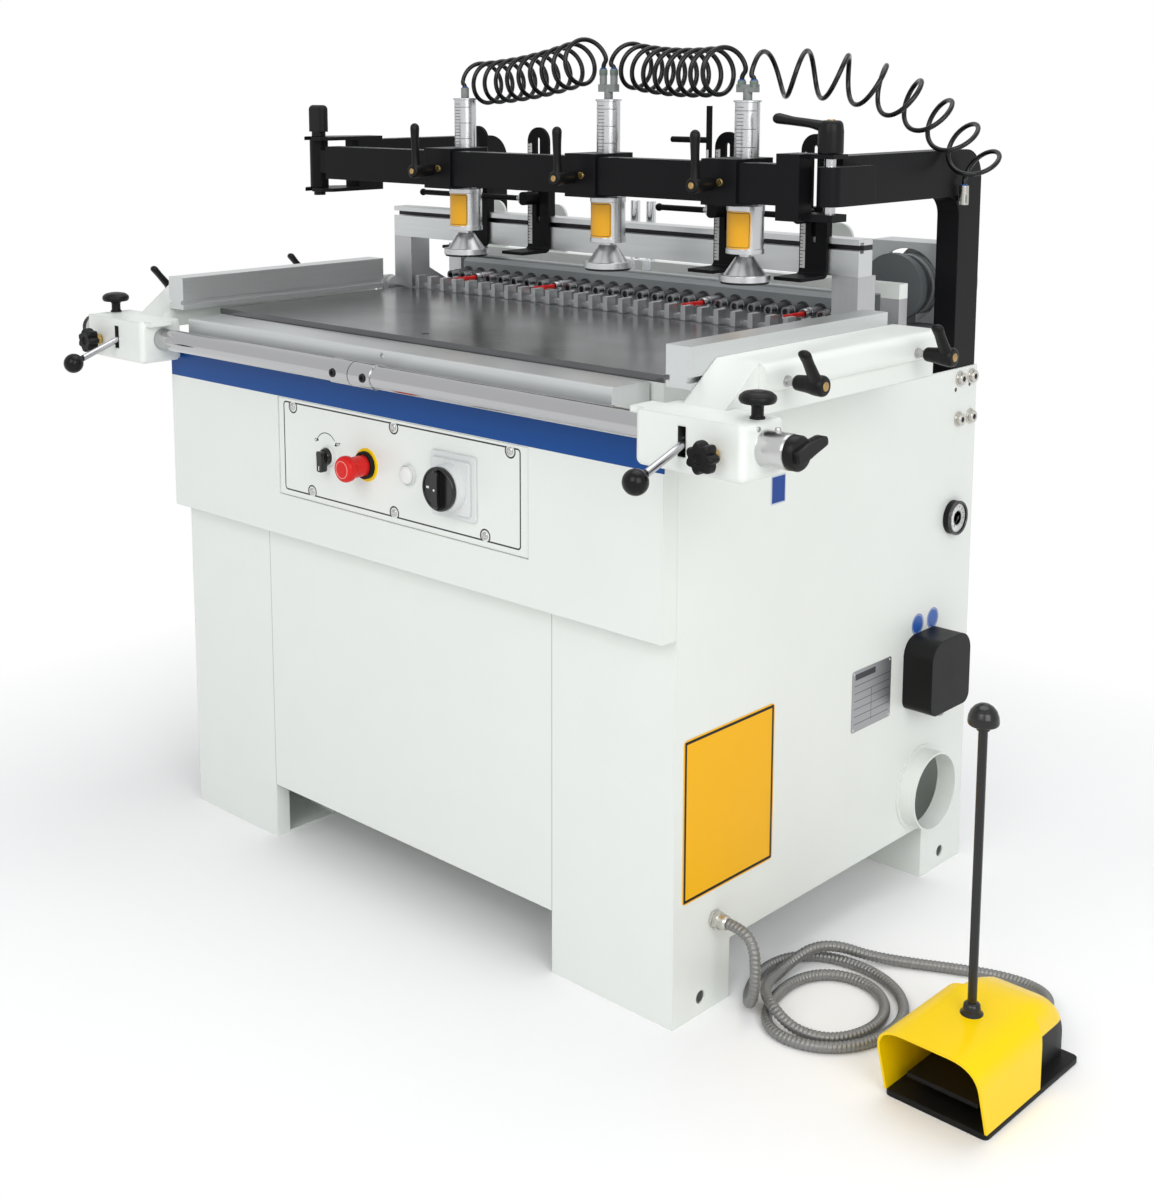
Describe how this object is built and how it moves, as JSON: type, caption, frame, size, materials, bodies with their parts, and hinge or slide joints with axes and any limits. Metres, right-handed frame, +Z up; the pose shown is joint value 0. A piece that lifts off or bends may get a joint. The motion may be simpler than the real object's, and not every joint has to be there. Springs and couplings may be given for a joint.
{
  "type": "dowel boring machine",
  "caption": "Floor-standing boring machine with a tilting head, a long row of spindles, air-driven pressors on a swing beam, side fences on a front bar and a hooded foot pedal.",
  "frame": {"origin": "on the floor, under the middle of the box that holds everything but the cords", "axes": "+X to the operator's right along the row of spindles, +Y from the front panel to the rear, +Z up"},
  "size_m": [1.637, 0.9876, 1.2807],
  "materials": {
    "white_paint": "powder coated, slightly glossy",
    "grey_paint": "satin enamel",
    "black_paint": "satin enamel",
    "yellow_paint": "gloss enamel",
    "table_steel": "ground, faint straight grain",
    "dark_steel": "oiled, satin",
    "chrome": "polished",
    "aluminium": "anodised, satin",
    "red_plastic": "gloss",
    "black_plastic": "fine grain",
    "white_plastic": "gloss",
    "grey_plastic": "satin",
    "hose_plastic": "gloss"
  },
  "bodies": {
    "base": {"cabinet": "white_paint", "table_frame": "white_paint", "front_apron": "white_paint", "table_top": "table_steel", "front_rail": "aluminium", "front_bar": "chrome", "control_plate": "white_paint", "dust_port": "white_paint", "terminal_cover": "black_plastic", "pressure_gauge": "black_plastic", "conduit_gland": "chrome", "conduit": "grey_plastic", "pedal_base": "black_plastic", "pedal_guard": "yellow_paint", "support_arms": "black_paint", "air_hose_right": "hose_plastic"},
    "tilting_frame": {"tilt_frame": "aluminium", "comb": "dark_steel", "stop_rail": "aluminium"},
    "head": {"spindle_head": "grey_paint", "head_motor": "grey_paint", "spindle_row": "dark_steel"},
    "beam": {"pressor_beam": "black_paint", "air_hose_left": "hose_plastic", "air_hose_middle": "hose_plastic"},
    "spindle_b_turn": {"spindle_b": "red_plastic"},
    "spindle_a_turn": {"spindle_a": "red_plastic"},
    "spindle_c_turn": {"spindle_c": "red_plastic"},
    "spindle_d_turn": {"spindle_d": "red_plastic"},
    "edge_stop_1_body": {"edge_stop_1": "black_paint"},
    "edge_stop_2_body": {"edge_stop_2": "black_paint"},
    "edge_stop_3_body": {"edge_stop_3": "black_paint"},
    "edge_stop_4_body": {"edge_stop_4": "black_paint"},
    "beam_pin_body": {"beam_pin": "black_plastic"},
    "beam_lever_body": {"beam_lever": "black_plastic"},
    "bracket_1": {"pressor_bracket_1": "black_paint"},
    "column_1": {"pressor_column_1": "chrome"},
    "foot_1": {"pressor_foot_1": "aluminium"},
    "lever_1": {"pressor_lever_1": "black_plastic"},
    "bracket_2": {"pressor_bracket_2": "black_paint"},
    "column_2": {"pressor_column_2": "chrome"},
    "foot_2": {"pressor_foot_2": "aluminium"},
    "lever_2": {"pressor_lever_2": "black_plastic"},
    "bracket_3": {"pressor_bracket_3": "black_paint"},
    "column_3": {"pressor_column_3": "chrome"},
    "foot_3": {"pressor_foot_3": "aluminium"},
    "lever_3": {"pressor_lever_3": "black_plastic"},
    "carrier_left": {"side_carrier_left": "white_paint"},
    "fence_left": {"side_fence_left": "aluminium"},
    "ball_left": {"ball_lever_left": "black_plastic"},
    "star_left": {"star_knob_left": "black_plastic"},
    "carrier_right": {"side_carrier_right": "white_paint"},
    "fence_right": {"side_fence_right": "aluminium"},
    "ball_right": {"ball_lever_right": "black_plastic"},
    "star_right": {"star_knob_right": "black_plastic"},
    "mains_body": {"mains_knob": "black_plastic"},
    "selector_body": {"selector_knob": "black_plastic"},
    "emergency_body": {"emergency_button": "red_plastic"},
    "start_body": {"start_button": "white_plastic"},
    "treadle_body": {"pedal_treadle": "black_plastic"}
  },
  "joints": [
    {"name": "head_tilt", "type": "hinge", "parent": "base", "child": "tilting_frame", "pos_m": [-0.1155, 0.1398, 0.852], "axis": [-1, 0, 0], "range_deg": [0, 90]},
    {"name": "head_feed", "type": "slide", "parent": "tilting_frame", "child": "head", "axis": [0, -1, 0], "range_m": [0, 0.06]},
    {"name": "spindle_b_spin", "type": "hinge", "parent": "head", "child": "spindle_b_turn", "pos_m": [-0.2755, 0.2528, 0.872], "axis": [0, 1, 0], "continuous": true},
    {"name": "spindle_a_spin", "type": "hinge", "parent": "head", "child": "spindle_a_turn", "pos_m": [-0.4675, 0.2528, 0.872], "axis": [0, 1, 0], "continuous": true},
    {"name": "spindle_c_spin", "type": "hinge", "parent": "head", "child": "spindle_c_turn", "pos_m": [0.0445, 0.2528, 0.872], "axis": [0, 1, 0], "continuous": true},
    {"name": "spindle_d_spin", "type": "hinge", "parent": "head", "child": "spindle_d_turn", "pos_m": [0.2365, 0.2528, 0.872], "axis": [0, 1, 0], "continuous": true},
    {"name": "edge_stop_1_slide", "type": "slide", "parent": "tilting_frame", "child": "edge_stop_1_body", "axis": [1, 0, 0], "range_m": [-0.12, 0]},
    {"name": "edge_stop_2_slide", "type": "slide", "parent": "tilting_frame", "child": "edge_stop_2_body", "axis": [1, 0, 0], "range_m": [-0.01, 0.15]},
    {"name": "edge_stop_3_slide", "type": "slide", "parent": "tilting_frame", "child": "edge_stop_3_body", "axis": [1, 0, 0], "range_m": [-0.08, 0.02]},
    {"name": "edge_stop_4_slide", "type": "slide", "parent": "tilting_frame", "child": "edge_stop_4_body", "axis": [1, 0, 0], "range_m": [-0.01, 0.03]},
    {"name": "beam_swing", "type": "hinge", "parent": "base", "child": "beam", "pos_m": [0.4165, 0.0038, 1.076], "axis": [0, 0, 1], "range_deg": [0, 90], "deforming": ["air_hose_right"]},
    {"name": "beam_pin_turn", "type": "hinge", "parent": "beam", "child": "beam_pin_body", "pos_m": [-0.6475, 0.0038, 1.1], "axis": [0, 0, 1], "range_deg": [-180, 180]},
    {"name": "beam_lever_turn", "type": "hinge", "parent": "beam", "child": "beam_lever_body", "pos_m": [0.4165, 0.0038, 1.15], "axis": [0, 0, 1], "range_deg": [-75, 75]},
    {"name": "pressor_1_slide", "type": "slide", "parent": "beam", "child": "bracket_1", "axis": [1, 0, 0], "range_m": [-0.12, 0.1], "deforming": ["air_hose_left"]},
    {"name": "pressor_1_height", "type": "slide", "parent": "bracket_1", "child": "column_1", "axis": [0, 0, 1], "range_m": [-0.025, 0], "deforming": ["air_hose_left"]},
    {"name": "pressor_1_stroke", "type": "slide", "parent": "column_1", "child": "foot_1", "axis": [0, 0, 1], "range_m": [-0.055, 0], "stiffness_N_per_m": 600, "springref_m": 0.03},
    {"name": "pressor_1_lever_turn", "type": "hinge", "parent": "bracket_1", "child": "lever_1", "pos_m": [-0.3195, -0.0282, 1.076], "axis": [0, 1, 0], "range_deg": [-90, 90]},
    {"name": "pressor_2_slide", "type": "slide", "parent": "beam", "child": "bracket_2", "axis": [1, 0, 0], "range_m": [-0.1, 0.08], "deforming": ["air_hose_left", "air_hose_middle"]},
    {"name": "pressor_2_height", "type": "slide", "parent": "bracket_2", "child": "column_2", "axis": [0, 0, 1], "range_m": [-0.025, 0], "deforming": ["air_hose_left", "air_hose_middle"]},
    {"name": "pressor_2_stroke", "type": "slide", "parent": "column_2", "child": "foot_2", "axis": [0, 0, 1], "range_m": [-0.055, 0], "stiffness_N_per_m": 600, "springref_m": 0.03},
    {"name": "pressor_2_lever_turn", "type": "hinge", "parent": "bracket_2", "child": "lever_2", "pos_m": [-0.011, -0.0282, 1.076], "axis": [0, 1, 0], "range_deg": [-90, 90]},
    {"name": "pressor_3_slide", "type": "slide", "parent": "beam", "child": "bracket_3", "axis": [1, 0, 0], "range_m": [-0.06, 0.06], "deforming": ["air_hose_middle", "air_hose_right"]},
    {"name": "pressor_3_height", "type": "slide", "parent": "bracket_3", "child": "column_3", "axis": [0, 0, 1], "range_m": [-0.025, 0], "deforming": ["air_hose_middle", "air_hose_right"]},
    {"name": "pressor_3_stroke", "type": "slide", "parent": "column_3", "child": "foot_3", "axis": [0, 0, 1], "range_m": [-0.055, 0], "stiffness_N_per_m": 600, "springref_m": 0.03},
    {"name": "pressor_3_lever_turn", "type": "hinge", "parent": "bracket_3", "child": "lever_3", "pos_m": [0.2455, -0.0282, 1.076], "axis": [0, 1, 0], "range_deg": [-90, 90]},
    {"name": "carrier_left_slide", "type": "slide", "parent": "base", "child": "carrier_left", "axis": [1, 0, 0], "range_m": [-0.06, 0.03]},
    {"name": "fence_left_slide", "type": "slide", "parent": "carrier_left", "child": "fence_left", "axis": [0, 1, 0], "range_m": [-0.1, 0.012]},
    {"name": "ball_lever_left_turn", "type": "hinge", "parent": "carrier_left", "child": "ball_left", "pos_m": [-0.6745, -0.3862, 0.81], "axis": [1, 0, 0], "range_deg": [-8, 8]},
    {"name": "star_knob_left_turn", "type": "hinge", "parent": "carrier_left", "child": "star_left", "pos_m": [-0.7225, -0.3982, 0.802], "axis": [0, 1, 0], "range_deg": [-180, 180]},
    {"name": "carrier_right_slide", "type": "slide", "parent": "base", "child": "carrier_right", "axis": [1, 0, 0], "range_m": [-0.085, 0.03]},
    {"name": "fence_right_slide", "type": "slide", "parent": "carrier_right", "child": "fence_right", "axis": [0, 1, 0], "range_m": [-0.1, 0.012]},
    {"name": "ball_lever_right_turn", "type": "hinge", "parent": "carrier_right", "child": "ball_right", "pos_m": [0.4975, -0.3862, 0.81], "axis": [1, 0, 0], "range_deg": [-8, 8]},
    {"name": "star_knob_right_turn", "type": "hinge", "parent": "carrier_right", "child": "star_right", "pos_m": [0.5455, -0.3982, 0.802], "axis": [0, 1, 0], "range_deg": [-180, 180]},
    {"name": "mains_turn", "type": "hinge", "parent": "base", "child": "mains_body", "pos_m": [0.0345, -0.3222, 0.668], "axis": [0, 1, 0], "range_deg": [0, 90]},
    {"name": "selector_turn", "type": "hinge", "parent": "base", "child": "selector_body", "pos_m": [-0.2375, -0.3222, 0.668], "axis": [0, 1, 0], "range_deg": [0, 90]},
    {"name": "emergency_push", "type": "slide", "parent": "base", "child": "emergency_body", "axis": [0, 1, 0], "range_m": [0, 0.0038], "stiffness_N_per_m": 1200, "springref_m": -0.002},
    {"name": "start_push", "type": "slide", "parent": "base", "child": "start_body", "axis": [0, 1, 0], "range_m": [0, 0.0022], "stiffness_N_per_m": 600, "springref_m": -0.002},
    {"name": "treadle_press", "type": "hinge", "parent": "base", "child": "treadle_body", "pos_m": [0.7525, -0.1082, 0.032], "axis": [1, 0, 0], "range_deg": [0, 8], "stiffness_Nm_per_rad": 5, "springref_deg": -6.88}
  ],
  "couplings": [
    {"joint": "spindle_a_spin", "follows": "spindle_b_spin", "ratio": 1},
    {"joint": "spindle_c_spin", "follows": "spindle_b_spin", "ratio": 1},
    {"joint": "spindle_d_spin", "follows": "spindle_b_spin", "ratio": 1}
  ]
}
